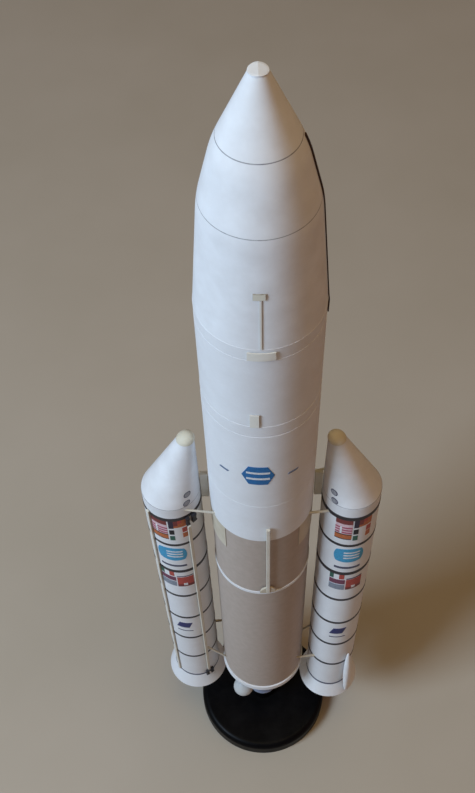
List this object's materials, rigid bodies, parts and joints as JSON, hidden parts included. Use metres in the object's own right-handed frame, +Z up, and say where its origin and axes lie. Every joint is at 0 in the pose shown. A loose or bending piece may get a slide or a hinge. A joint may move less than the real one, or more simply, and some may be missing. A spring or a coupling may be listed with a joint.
{
  "type": "space rocket display model",
  "caption": "Card display model of a heavy space rocket with a core stage, pointed fairing and strap-on boosters, on a round black stand",
  "frame": {"origin": "middle of the stand's underside", "axes": "+Z up along the core towards the nose, +X towards one booster, -Y to the front"},
  "size_m": [0.1348, 0.0928, 0.603],
  "materials": {
    "paper": "white printed card, matt",
    "kraft": "grey-brown card, fine grain, matt",
    "cream": "uncoated cream card, matt",
    "black": "black card, matt",
    "stand": "black, satin to glossy",
    "metal": "grey-blue card, satin"
  },
  "bodies": {
    "root": {"aft_skirt_left": "paper", "aft_skirt_right": "paper", "attachment_patch_left": "cream", "attachment_patch_right": "cream", "ball_tank": "paper", "booster_nose_left": "paper", "booster_nose_right": "paper", "booster_nozzle_left": "metal", "booster_nozzle_right": "metal", "booster_pod_left": "paper", "booster_pod_right": "paper", "booster_tip_left": "cream", "booster_tip_right": "cream", "booster_tube_left": "paper", "booster_tube_right": "paper", "core_base_ring": "paper", "core_lower_tube": "kraft", "core_mid_ring": "paper", "core_upper_tube": "kraft", "engine_mount": "metal", "engine_nozzle": "metal", "fairing_base_band": "paper", "fairing_cap": "paper", "fairing_lower": "paper", "fairing_middle": "paper", "fairing_nose": "paper", "fairing_strip": "black", "fitting_lower_a_left": "black", "fitting_lower_a_right": "black", "fitting_lower_b_left": "black", "fitting_lower_b_right": "black", "fitting_upper_a_left": "black", "fitting_upper_a_right": "black", "fitting_upper_b_left": "black", "fitting_upper_b_right": "black", "forward_plate_left": "cream", "forward_plate_right": "cream", "forward_skirt": "paper", "forward_tube": "paper", "front_raceway": "cream", "pad_lower": "cream", "pad_middle": "cream", "pad_rod": "paper", "pad_upper": "cream", "raceway_inner_left": "cream", "raceway_inner_right": "cream", "raceway_outer_left": "cream", "raceway_outer_right": "cream", "stage_joint_band": "paper", "stand_base": "stand", "stand_collar": "stand", "strut_lower_front_left": "cream", "strut_lower_front_right": "cream", "strut_lower_rear_left": "cream", "strut_lower_rear_right": "cream", "strut_upper_front_left": "cream", "strut_upper_front_right": "cream", "strut_upper_rear_left": "cream", "strut_upper_rear_right": "cream", "upper_stage_tube": "paper"}
  },
  "joints": []
}
